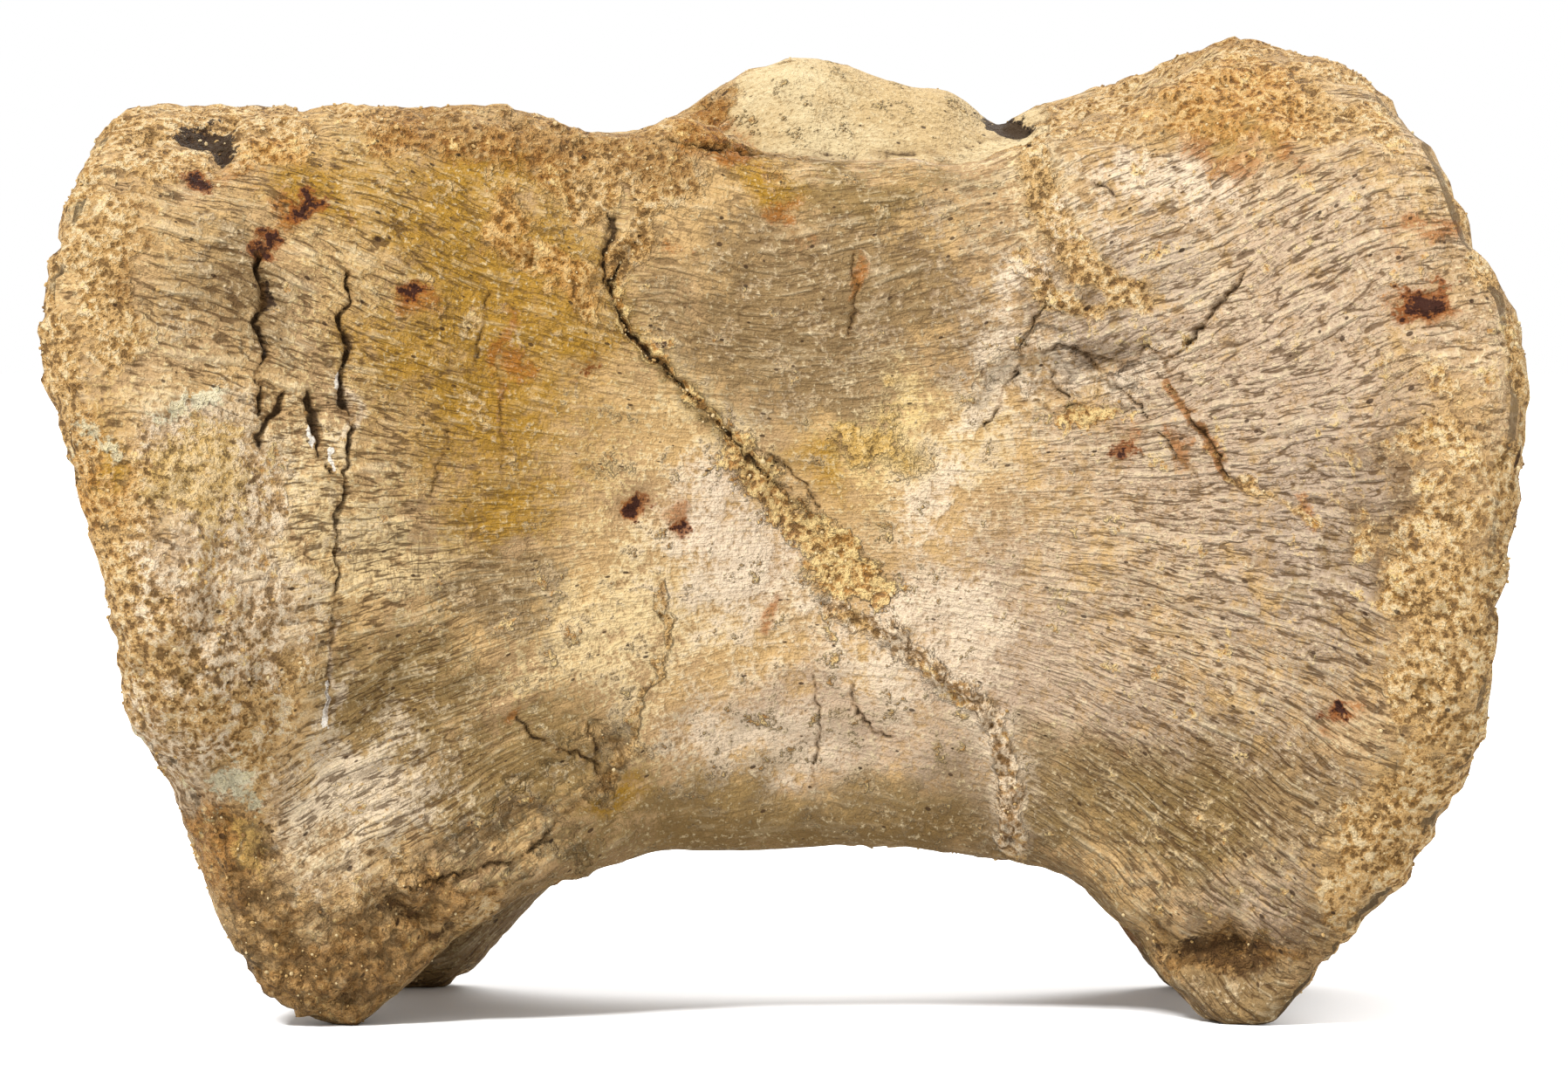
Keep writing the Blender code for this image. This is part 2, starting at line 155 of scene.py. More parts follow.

# Stains, breaks and painted shade of the better side: place, reach and turn in degrees, for each
# kind.
PATCHES = {
    "pit": [((-39.6, 61.2), (1.8, 0.9), 0), ((-38.8, 60.0), (0.8, 1.3), 0),
            ((15.2, 61.8), (1.7, 0.7), -20), ((-35.6, 50.0), (0.5, 1.0), 0)],
    "maroon": [((-40.2, 58.0), (1.3, 0.8), -20), ((-32.8, 56.2), (1.4, 1.0), 25),
               ((-35.4, 53.6), (1.35, 1.1), 0), ((-10.0, 35.7), (1.15, 0.75), 10),
               ((43.5, 49.6), (2.3, 1.1), 28), ((-25.6, 50.3), (0.9, 0.7), 0),
               ((23.3, 39.6), (0.9, 0.75), 0), ((38.0, 21.5), (0.8, 0.7), 0),
               ((-10.6, 35.2), (0.7, 0.5), 0), ((-6.9, 34.0), (0.6, 0.5), 0),
               ((-13.5, 45.0), (0.9, 0.5), 0)],
    "rust": [((-25.6, 50.3), (1.7, 1.2), 0), ((-13.4, 44.9), (1.7, 1.1), 0),
             ((23.2, 39.6), (1.7, 1.3), 0), ((38.0, 21.4), (1.7, 1.3), 0),
             ((-18.5, 21.2), (1.2, 0.8), 0), ((-1.2, 27.8), (0.8, 1.2), 0),
             ((-7.2, 53.0), (1.3, 1.0), 0), ((44.2, 55.2), (2.4, 1.2), 20),
             ((-6.9, 34.1), (1.3, 1.0), 0), ((22.9, 17.6), (0.9, 0.5), 0),
             ((-33.0, 56.4), (2.4, 1.6), 20), ((-39.0, 58.6), (3.4, 2.0), 0),
             ((43.4, 49.8), (3.2, 2.0), 28), ((-10.2, 35.6), (1.9, 1.3), 0),
             ((-19.0, 44.6), (1.0, 3.4), 0), ((31.0, 63.0), (4.2, 2.8), 0),
             ((30.4, 60.0), (1.7, 2.0), 0), ((35.0, 60.5), (2.0, 1.4), 0),
             ((-5.0, 60.4), (3.6, 1.8), -25), ((0.2, 55.6), (0.9, 1.6), 0),
             ((4.7, 51.6), (0.6, 2.4), 0), ((27.4, 38.8), (2.0, 0.9), -55),
             ((36.2, 34.6), (0.9, 0.6), 0)],
    "ochre": [((-19.5, 50.0), (7.5, 8.0), 0), ((-23.0, 55.0), (8.0, 4.0), -35),
              ((-20.5, 42.4), (5.6, 4.2), 0), ((-13.8, 47.0), (3.6, 3.4), 0),
              ((-25.0, 46.0), (5.0, 4.0), 0), ((-3.6, 61.0), (4.0, 1.5), -25),
              ((-39.5, 13.0), (2.4, 2.6), 0), ((-32.0, 58.0), (4.0, 2.4), -20),
              ((31.4, 62.4), (5.0, 3.4), 0), ((3.0, 37.6), (3.0, 2.0), -30),
              ((-47.0, 38.0), (2.6, 4.6), 0), ((-20.0, 36.0), (5.0, 3.0), 0),
              ((-2.0, 57.4), (3.0, 1.6), 0), ((-11.6, 14.8), (1.8, 1.0), 25),
              ((-22.0, 58.4), (7.0, 2.4), 0)],
    "taupe": [((4.0, 50.0), (11.0, 6.5), 0), ((22.0, 50.0), (5.5, 4.5), 0),
              ((37.0, 33.0), (6.0, 9.0), 0), ((-38.0, 51.0), (4.0, 4.0), 0),
              ((31.0, 16.0), (9.0, 6.0), -20), ((0.0, 46.0), (9.0, 4.0), -20),
              ((14.0, 15.0), (6.0, 4.0), 0), ((-20.0, 30.0), (4.0, 3.0), 0),
              ((31.0, 2.0), (5.0, 2.6), 0), ((36.0, 7.0), (3.0, 3.0), 0)],
    "film": [((-10.0, 28.0), (11.0, 5.0), 10), ((-29.0, 15.0), (6.0, 5.0), 25),
             ((-26.0, 32.0), (5.0, 3.0), 0), ((6.6, 40.0), (5.0, 3.0), 0),
             ((-4.0, 41.0), (7.0, 2.6), -35), ((13.0, 40.0), (3.0, 3.0), 0),
             ((-33.0, 33.0), (4.0, 6.0), 0), ((28.0, 51.0), (4.0, 4.0), 0)],
    "pale": [((10.4, 36.8), (1.9, 2.8), -15), ((-1.5, 34.6), (2.0, 2.6), 30),
             ((-3.5, 33.4), (3.6, 5.0), 0), ((26.5, 58.2), (5.6, 2.2), 10),
             ((-38.6, 32.0), (5.0, 8.5), 10), ((14.0, 42.6), (1.2, 3.0), -25),
             ((15.8, 50.0), (1.2, 4.6), -28), ((12.6, 27.6), (3.8, 2.2), -30),
             ((7.4, 25.4), (2.6, 3.4), 0), ((21.0, 44.4), (5.0, 1.6), 0),
             ((2.6, 29.4), (2.2, 1.0), -15), ((-30.7, 42.0), (0.35, 1.6), 8),
             ((-31.9, 41.4), (0.35, 1.2), -8), ((-31.1, 24.0), (0.22, 2.6), 4),
             ((-41.0, 40.5), (3.0, 2.0), 0), ((-30.0, 15.4), (6.0, 4.6), 20),
             ((-41.0, 17.0), (3.0, 5.0), 20), ((-3.0, 19.0), (6.0, 2.0), 0)],
    "olive": [((0.0, 14.0), (16.0, 3.4), 0), ((5.0, 57.2), (8.0, 1.6), 0),
              ((27.0, 14.0), (7.0, 3.4), -30), ((-20.0, 17.0), (8.0, 4.0), 20),
              ((-27.0, 22.0), (6.0, 5.0), 0), ((20.0, 15.5), (7.0, 3.6), -25)],
    "sand": [((3.4, 31.6), (1.5, 2.4), 30), ((0.4, 35.0), (1.5, 2.2), 40),
             ((21.0, 42.0), (2.0, 0.8), 0)],
    "gilt": [((6.2, 39.8), (3.4, 2.8), 0), ((9.0, 42.0), (1.8, 1.4), 0),
             ((-41.0, 37.0), (2.4, 3.0), 0), ((-36.4, 12.8), (1.6, 1.2), 0)],
    "rosy": [((32.0, 44.0), (15.0, 20.0), 0), ((16.0, 24.0), (12.0, 10.0), 0),
             ((-3.0, 33.0), (4.0, 6.0), 0), ((4.0, 20.0), (10.0, 5.0), 0),
             ((27.0, 58.0), (6.0, 3.0), 0), ((32.0, 9.0), (6.0, 3.0), -20)],
    "flake": [((20.0, 44.7), (5.6, 1.9), 5), ((15.2, 43.4), (1.4, 2.8), -30)],
    "crazed": [((-26.0, 33.0), (4.0, 4.0), 0), ((-22.0, 50.0), (3.0, 3.0), 0)],
    "crumble": [((-17.0, 61.0), (8.0, 2.0), 0), ((-10.0, 59.0), (3.0, 3.0), 0),
                ((-18.6, 54.0), (2.0, 1.6), 0), ((-16.4, 51.4), (3.0, 1.2), -30),
                ((-12.0, 57.6), (3.0, 2.4), 0),
                ((-44.0, 27.0), (4.4, 10.0), 12), ((-38.4, 25.0), (4.6, 8.0), 10),
                ((-43.0, 38.0), (2.6, 4.0), 0), ((-39.4, 36.0), (4.0, 4.6), 0),
                ((-46.0, 51.0), (2.6, 6.0), 0), ((-37.0, 11.0), (3.6, 7.0), 25),
                ((-24.6, 7.6), (5.2, 2.6), 10), ((-30.6, 3.0), (6.0, 3.0), 0),
                ((31.0, 63.4), (6.0, 3.0), 0), ((45.4, 29.0), (4.0, 15.0), 0),
                ((30.4, 4.6), (5.4, 2.0), 0), ((-42.0, 60.0), (4.0, 3.0), 0),
                ((-4.0, 62.0), (4.0, 1.4), -30), ((42.0, 14.0), (2.6, 6.0), -35),
                ((5.8, 40.0), (2.5, 2.1), 0), ((-12.4, 17.4), (1.6, 1.0), 20)],
    "umber": [((-20.0, 60.6), (8.0, 2.6), 0), ((-10.0, 59.6), (4.0, 2.6), 0),
              ((-30.0, 4.0), (7.0, 4.4), 0), ((31.4, 4.6), (6.4, 4.4), 0),
              ((-3.6, 61.2), (3.6, 1.6), -30), ((-24.0, 8.6), (4.0, 1.6), 20),
              ((-38.0, 12.0), (3.0, 5.0), 25), ((-42.6, 52.0), (2.0, 4.0), 0)],
    "hollow": [((28.8, 5.2), (4.2, 1.0), 0), ((31.4, 4.0), (2.6, 0.9), 0),
               ((-26.0, 7.6), (2.0, 0.6), -20), ((-23.4, 6.4), (1.4, 0.5), 20),
               ((-30.0, 1.6), (1.1, 0.4), 30)],
    "chunky": [((-30.6, 4.6), (5.6, 3.6), 0), ((-26.4, 6.6), (4.0, 2.6), 20),
               ((-36.0, 10.0), (2.4, 5.0), 20), ((30.0, 4.8), (5.4, 1.8), 0),
               ((-15.0, 16.6), (3.6, 2.2), 30), ((19.0, 44.4), (5.0, 2.2), 0),
               ((-20.0, 12.4), (5.0, 2.2), 20)],
    "mint": [((-40.6, 42.6), (2.2, 1.3), 0), ((-48.0, 41.4), (1.6, 1.4), 0),
             ((-38.0, 16.6), (2.4, 2.0), 0), ((-44.0, 20.0), (1.0, 1.2), 0)],
    # Painted shade: the dark band in the hollow inside the right rim, and the shaded undersides of
    # the feet, the low left rim and the lower ledge.
    "painted_shade": [((41.6, 35.0), (1.6, 8.0), 0), ((40.6, 12.6), (1.6, 3.6), -35),
             ((36.6, 8.6), (4.6, 1.8), 30), ((-38.6, 22.0), (2.0, 4.6), 20),
             ((-21.0, 13.2), (4.0, 0.8), 16), ((-20.0, 7.8), (4.0, 1.0), 20),
             ((31.0, 5.2), (5.0, 1.6), 0)],
}

# Paths that several bands follow.
LOWER_FRACTURE = [(6.1, 28.4), (9.3, 25.4), (12.6, 23.0), (14.5, 20.5), (15.4, 16.7),
                  (15.6, 13.2)]
NOTCH_BAND = [(16.6, 61.8), (17.4, 58.4), (18.6, 55.0), (20.4, 52.4), (24.6, 49.6)]
WAIST_BAND = [(-8.6, 31.0), (-8.0, 26.4), (-10.2, 21.0), (-10.6, 18.6)]

# Bands of stain, painted shadow, crust or relief along a path on the better side: kind, points and
# half width.
VEINS = [
    ("chalk", [(-32.6, 41.0), (-32.4, 39.0)], 0.15),
    ("chalk", [(-30.6, 44.7), (-30.7, 43.6)], 0.2),
    ("chalk", [(-31.0, 39.2), (-31.1, 38.0)], 0.14),
    ("chalk", [(-31.3, 23.2), (-31.6, 20.6)], 0.2),
    ("chalk", [(-35.9, 46.8), (-35.6, 46.2)], 0.25),
    ("sand", [(-2.9, 39.0), (-1.1, 36.4), (1.6, 34.2), (4.0, 31.8), (6.3, 29.8)], 1.3),
    ("crumble", [(3.4, 28.6), (8.5, 26.0), (11.2, 23.6), (13.8, 21.8), (15.1, 19.4),
                 (15.7, 16.4), (15.7, 12.4)], 0.7),
    ("ridge", LOWER_FRACTURE, 0.8),
    ("pale", LOWER_FRACTURE, 1.3),
    ("crumble", [(30.6, 37.6), (33.0, 36.6), (36.8, 34.2)], 0.32),
    ("rust", [(11.0, 24.0), (13.8, 21.8), (15.1, 19.4), (15.7, 14.4)], 0.5),
    ("crumble", NOTCH_BAND, 1.1),
    ("crumble", [(16.4, 52.6), (18.0, 50.0), (21.6, 48.6), (24.8, 51.0)], 0.6),
    ("film", NOTCH_BAND, 2.4),
    ("ridge", [(-25.6, 9.4), (-22.4, 9.0), (-19.0, 10.4), (-15.0, 11.6), (-11.0, 12.6)], 1.0),
    ("crumble", WAIST_BAND, 0.28),
    ("film", WAIST_BAND, 1.4),
    ("crumble", [(-10.4, 60.0), (-9.6, 57.0), (-9.8, 54.0), (-12.0, 52.0)], 1.0),
    ("olive", [(-12.1, 51.2), (-11.0, 48.2), (-9.8, 46.7), (-5.9, 42.5), (-2.6, 38.6)], 0.7),
    ("olive", [(-2.6, 38.6), (0.6, 36.0), (5.8, 31.4)], 0.5),
    # Painted shadow along the foot of the near wall, under the cream break.
    ("painted_shade", [(-6.0, 60.4), (0.0, 59.7), (8.0, 59.9), (15.4, 60.6)], 0.5),
    ("sand", [(-12.0, 51.0), (-11.0, 48.2), (-9.8, 46.7), (-7.7, 44.6), (-5.9, 42.5),
              (-2.9, 39.4)], 0.36),
    ("rust", [(26.4, 44.2), (28.3, 41.2), (30.7, 37.4)], 0.4),
]

# Kinds whose edges wander widely, kinds that the far side has too, and kinds that shape the
# mesh alone.
CLOUDY = ("film", "rosy", "gilt", "ochre", "taupe", "pale", "olive", "painted_shade", "rust", "mint",
          "crumble", "umber", "crazed", "chunky")
FAR_KINDS = ("ochre", "pale", "taupe", "umber", "crumble", "rust")
SHAPE_KINDS = ("crumble", "ridge", "flake")


def seen(points):
    """Where points show on the plane of the better side, as (across, up)."""
    x, y, z = points[:, 0], points[:, 1], points[:, 2] - EYE_AIM_HEIGHT
    away = EYE_DISTANCE + y * math.cos(EYE_ELEVATION) - z * math.sin(EYE_ELEVATION)
    rise = y * math.sin(EYE_ELEVATION) + z * math.cos(EYE_ELEVATION)
    return np.stack(
        [SIDE_PLANE * x / away, SIDE_PLANE_HEIGHT + SIDE_PLANE * rise / away], axis=1
    )


def eased(values, low, high):
    """0 below low, 1 above high and a smooth rise between them."""
    share = np.clip((values - low) / (high - low), 0.0, 1.0)
    return share * share * (3 - 2 * share)


def lumps(points, size, start=0.0):
    """Smooth noise from about -1 to 1 at every point, with lumps of this size."""
    return np.array([noise.noise(p) for p in (points / size + start).tolist()])


def path_distance(where, path):
    """The distance of every place from a path, and how far along it the nearest point is."""
    corners = np.array(path)
    lengths = np.linalg.norm(np.diff(corners, axis=0), axis=1)
    starts = np.concatenate([[0.0], np.cumsum(lengths)])
    best = np.full(len(where), np.inf)
    share = np.zeros(len(where))
    for a, b, length, start in zip(corners[:-1], corners[1:], lengths, starts):
        t = np.clip((where - a) @ (b - a) / length**2, 0.0, 1.0)
        gap = np.linalg.norm(where - a - t[:, None] * (b - a), axis=1)
        nearer = gap < best
        best[nearer] = gap[nearer]
        share[nearer] = (start + t[nearer] * length) / starts[-1]
    return best, share


def crack_openness(where, path, width, pinch):
    """1 in the middle of a crack, 0 at its lips and beyond. It thins out towards its ends."""
    gap, share = path_distance(where, path)
    taper = 0.35 + 0.65 * np.sin(math.pi * np.clip(share, 0.0, 1.0)) ** 0.5
    return np.clip(1.0 - gap / (width * taper * pinch), 0.0, 1.0)


def patch_strength(where, patches):
    """1 in the middle of the nearest patch, falling off smoothly past its reach."""
    strongest = np.zeros(len(where))
    for (across, up), (long, tall), turn in patches:
        c, s = math.cos(math.radians(turn)), math.sin(math.radians(turn))
        dx, dz = where[:, 0] - across, where[:, 1] - up
        spread = ((c * dx + s * dz) / long) ** 2 + ((c * dz - s * dx) / tall) ** 2
        strongest = np.maximum(strongest, np.exp(-STAIN_FALL * spread))
    return strongest


def mesh_arrays(mesh):
    """The places and normals of a mesh's vertices, in millimetres."""
    count = len(mesh.vertices)
    places, normals = np.zeros(count * 3), np.zeros(count * 3)
    mesh.vertices.foreach_get("co", places)
    mesh.vertices.foreach_get("normal", normals)
    return places.reshape(-1, 3) / MM, normals.reshape(-1, 3)


def turn_about_axis(points):
    """The angle of every point round the bone's long axis, as its fibres fan out to the rims."""
    fan = 1.0 + FIBRE_FAN * (np.abs(points[:, 0]) / FIBRE_REACH) ** 1.3
    return np.arctan2(points[:, 2] - AXIS_HEIGHT, -points[:, 1] * fan)


def depth_behind_rims(points):
    """How far every point lies behind the rim of the nearer end, along the bone."""
    angle = np.arctan2(points[:, 2] - AXIS_HEIGHT, -points[:, 1])
    slots = ((angle / math.tau + 0.5) * RIM_SLOTS).astype(int) % RIM_SLOTS
    right, left = np.full(RIM_SLOTS, 30.0), np.full(RIM_SLOTS, -30.0)
    np.maximum.at(right, slots, points[:, 0])
    np.minimum.at(left, slots, points[:, 0])
    middles = (np.arange(RIM_SLOTS) + 0.5) / RIM_SLOTS * math.tau - math.pi
    right_rim = np.interp(angle, middles, right, period=math.tau)
    left_rim = np.interp(angle, middles, left, period=math.tau)
    return np.minimum(right_rim - points[:, 0], points[:, 0] - left_rim)


def set_attribute(mesh, name, values):
    """Keeps a number, or a vector, for every vertex of a mesh."""
    kind = "FLOAT" if values.ndim == 1 else "FLOAT_VECTOR"
    field = "value" if values.ndim == 1 else "vector"
    made = mesh.attributes.new(name, kind, "POINT")
    made.data.foreach_set(field, values.astype(np.float32).ravel())


def evened_bone(node):
    """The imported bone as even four-sided faces, made finer all over."""
    bm = bmesh.new()
    bm.from_mesh(node.data)
    bmesh.ops.remove_doubles(bm, verts=bm.verts, dist=WELD_GAP * MM)
    bmesh.ops.join_triangles(
        bm, faces=bm.faces, angle_face_threshold=math.pi, angle_shape_threshold=math.pi
    )
    mesh = bpy.data.meshes.new("bone")
    bm.to_mesh(mesh)
    bm.free()
    bone = bpy.data.objects.new("bone", mesh)
    bpy.context.scene.collection.objects.link(bone)
    rounding = bone.modifiers.new("rounding", "SUBSURF")
    rounding.levels = rounding.render_levels = MESH_SPLITS
    shaped = bpy.context.evaluated_depsgraph_get()
    finer = bpy.data.meshes.new_from_object(bone.evaluated_get(shaped))
    bone.modifiers.clear()
    bone.data = finer
    bpy.data.meshes.remove(mesh)
    return bone


def refine_along_cracks(mesh):
    """Splits the faces near every crack twice, so that its walls are cut in real mesh."""
    sides = ((-1.0, CRACKS), (1.0, FAR_CRACKS))
    bm = bmesh.new()
    bm.from_mesh(mesh)
    for band in (FINE_BAND, FINE_BAND * 0.6):
        centres = np.array([face.calc_center_median() for face in bm.faces]) / MM
        facing = np.array([face.normal.y for face in bm.faces])
        where = seen(centres)
        close = np.zeros(len(centres), bool)
        for side, cracks in sides:
            this_side = (side * facing > 0.1) & (side * centres[:, 1] > 3.0)
            for path, _, _ in cracks.values():
                close |= this_side & (path_distance(where, path)[0] < band)
        bm.faces.ensure_lookup_table()
        edges = {edge for k in np.flatnonzero(close) for edge in bm.faces[k].edges}
        bmesh.ops.subdivide_edges(bm, edges=list(edges), cuts=1, use_grid_fill=True)
    bmesh.ops.triangulate(bm, faces=bm.faces)
    bm.to_mesh(mesh)
    bm.free()


def wander(points, size, starts):
    """A smooth drift, from about -1 to 1 each way, in as many ways as there are starts."""
    return np.stack([lumps(points, size, start) for start in starts], axis=1)


def side_masks(points, normals):
    """How surely every point is on the better side, the far side and the far arch wall's top."""
    far_wall = eased(points[:, 2], 56.0, 58.0) * eased(-points[:, 1], -16.0, -12.0)
    far_wall *= eased(points[:, 0], -14.0, -11.0) * eased(-points[:, 0], -24.0, -20.0)
    near = eased(-normals[:, 1], *FACING)
    near = near * np.maximum(eased(-points[:, 1], *OFF_MIDDLE), far_wall)
    far = eased(normals[:, 1], *FACING) * eased(points[:, 1], *OFF_MIDDLE)
    wall_top = eased(-normals[:, 1], -0.6, -0.2) * far_wall
    return near, far, wall_top


def stain_marks(points, where, ragged, near, wall_top):
    """How strong every kind of stain, painted shade, crust, break and relief is at every point."""
    cloudy = where + 2.4 * wander(points, 5.0, (61.0, 67.0))
    cloudy += 1.3 * wander(points, 2.2, (71.0, 77.0))
    marks = {
        kind: near * patch_strength(cloudy if kind in CLOUDY else where, spots)
        for kind, spots in PATCHES.items()
    }
    marks["pit"] = np.maximum(marks["pit"], wall_top * patch_strength(where, PATCHES["pit"]))
    for kind, path, half in VEINS:
        gap, _ = path_distance(where, path)
        band = near * np.exp(-STAIN_FALL * (gap / half) ** 2)
        marks[kind] = np.maximum(marks.get(kind, 0.0), band)
    for start, kind in enumerate(FAR_KINDS):
        spread = lumps(points, 14.0, 80.0 + 3.0 * start) + 0.5 * lumps(points, 4.5, 90.0 + start)
        spread = eased(spread + 0.3 * ragged[:, 0], 0.0, 0.7)
        marks[kind] = np.maximum(marks[kind], 0.75 * (1 - near) * spread)
    return marks


def crack_marks(points, jagged, near, far):
    """How open the cracks are at every point, how deep they go there, and the stains at their
    lips.
    """
    pinch = np.clip(0.9 + 1.9 * lumps(points, 1.8, 15.0), 0.08, 1.6)
    crack, cut, lip = (np.zeros(len(points)) for _ in range(3))
    for side, cracks in ((near, CRACKS), (far, FAR_CRACKS)):
        for path, width, depth in cracks.values():
            open_here = side * crack_openness(jagged, path, width, pinch)
            crack = np.maximum(crack, open_here * min(1.0, 0.4 + 1.4 * width))
            cut = np.maximum(cut, depth * open_here * np.clip(pinch, 0.3, 1.0))
            gap, _ = path_distance(jagged, path)
            lip = np.maximum(lip, side * np.clip(1.0 - gap / (0.25 + 1.4 * width), 0.0, 1.0))
    return crack, cut, lip


def surface_zones(points, normals, crumbling, ragged):
    """Where the bone crumbles, breaks cream, is a joint face, and has a strong grain."""
    uneven = lumps(points, 4.0, 3.0)
    rim = eased(RIM_BAND - depth_behind_rims(points) + 2.8 * uneven, 0.0, RIM_BAND)
    outward = normals[:, 0] * np.sign(points[:, 0])
    dish = eased(outward, 0.35, 0.7) * eased(np.abs(points[:, 0]), 32.0, 35.0)
    top = eased(points[:, 2] + 3.0 * uneven, BROKEN_TOP, BROKEN_TOP + 3.0)
    top *= eased(normals[:, 2] + uneven, 0.2, 0.6)
    cream = (
        eased(-normals[:, 1], -0.3, 0.2) * eased(points[:, 1], -8.0, -3.0)
        * eased(points[:, 2], 59.0, 60.6) * eased(points[:, 0], -5.5, -2.0)
        * eased(-points[:, 0], -21.0, -16.0)
    )
    cream = eased(cream + 0.5 * uneven * (cream > 0.02) + 0.3 * ragged[:, 0], 0.4, 0.7)
    worn_face = dish * eased(lumps(points, 7.0, 31.0) + 0.5 * lumps(points, 2.5, 33.0), 0.1, 0.5)
    crumble = np.maximum.reduce([rim, crumbling, 0.7 * top * (1 - cream), 0.6 * worn_face])
    crumble = np.clip(crumble + 0.35 * uneven * (crumble > 0.02), 0.0, 1.0) * (1 - cream)
    ridged = eased(np.abs(points[:, 0]), 9.0, 27.0)
    ridged = np.maximum(ridged, 0.6 * eased(points[:, 2], 40.0, 47.0))
    ridged *= (1 - 0.6 * dish) * (1 - cream)
    return {"crumble": crumble, "cream": cream, "dish": dish, "ridged": ridged}


def fibre_places(points, dish):
    """Every point in the grain's own space: along it and round it, or in a joint face's rings."""
    angle = turn_about_axis(points)
    fibre = np.stack(
        [points[:, 0], FIBRE_RADIUS * np.cos(angle), FIBRE_RADIUS * np.sin(angle)], axis=1
    )
    radius = np.hypot(points[:, 1], points[:, 2] - AXIS_HEIGHT)
    rings = np.stack([0.7 * points[:, 1], 0.14 * points[:, 2], radius], axis=1)
    fibre = np.where(dish[:, None] > 0.5, rings, fibre)
    return fibre + 0.35 * wander(points, 5.0, (41.0, 43.0, 47.0))


def relief_height(points, marks, zones, fibre):
    """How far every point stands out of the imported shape, apart from the cracks."""
    crumble, ridged, dish = zones["crumble"], zones["ridged"], zones["dish"]
    strands = lumps(fibre * (0.2, 1.0, 1.0), 1.0, 7.0)
    grit = lumps(points, 1.0, 11.0)
    coarse = lumps(points, 1.9, 13.0)
    holes = eased(-lumps(points, 1.5, 17.0), 0.18, 0.5)
    relief = 0.15 + 0.30 * lumps(points, 6.0, 1.0) + 0.20 * lumps(points, 2.6, 2.0) + 0.05 * grit
    relief += (0.10 + 0.26 * ridged * (1 - dish)) * strands * (1 - crumble)
    relief += crumble * (0.26 * coarse + 0.32 * grit - 0.55 * holes)
    relief += marks["sand"] * (0.26 * grit - 0.12) + 0.55 * marks["ridge"] * (1 + 0.6 * coarse)
    relief += marks["chunky"] * (0.9 * np.abs(coarse) + 0.4 * np.abs(grit) - 0.3)
    relief -= 0.45 * eased(marks["flake"], 0.42, 0.52) * (1 + 0.5 * grit)
    relief -= 0.35 * marks["maroon"] + marks["pit"] + 0.8 * marks["hollow"] * (1 + coarse)
    return relief


def rim_shift(points):
    """How far along the bone the uneven lips of the rims move every point."""
    up = seen(points)[:, 1]
    left_lip = np.interp(up, *zip(*LEFT_LIP)) * eased(-points[:, 0], LIP_INNER, LIP_OUTER)
    right_lip = np.interp(up, *zip(*RIGHT_LIP)) * eased(points[:, 0], LIP_INNER, LIP_OUTER)
    return right_lip - left_lip


def weather_bone(mesh):
    """Cuts the cracks, pits, crumbs and rims, and keeps what the finish needs to know."""
    points, normals = mesh_arrays(mesh)
    near, far, wall_top = side_masks(points, normals)
    fine = wander(points, 0.5, (9.0, 39.0))
    ragged = wander(points, 1.3, (5.0, 25.0))
    where = seen(points) + 0.6 * ragged + 0.2 * fine
    jagged = seen(points) + 0.25 * fine + 0.35 * ragged
    marks = stain_marks(points, where, ragged, near, wall_top)
    crack, cut, lip = crack_marks(points, jagged, near, far)
    zones = surface_zones(points, normals, marks["crumble"], ragged)
    fibre = fibre_places(points, zones["dish"])
    relief = relief_height(points, marks, zones, fibre) - cut
    shift = rim_shift(points)
    points += normals * relief[:, None]
    points[:, 0] += shift
    points[:, 2] = np.maximum(points[:, 2], 0.0)
    mesh.vertices.foreach_set("co", (points * MM).ravel())
    mesh.update()

    known = {kind: values for kind, values in marks.items() if kind not in SHAPE_KINDS}
    known.update(zones, crack=crack, lip=lip, fibre=fibre)
    # Painted shade: how much every point faces down, for darkening the undersides.
    known["under"] = eased(-normals[:, 2], 0.05, 0.75)
    for name, values in known.items():
        set_attribute(mesh, name, values)


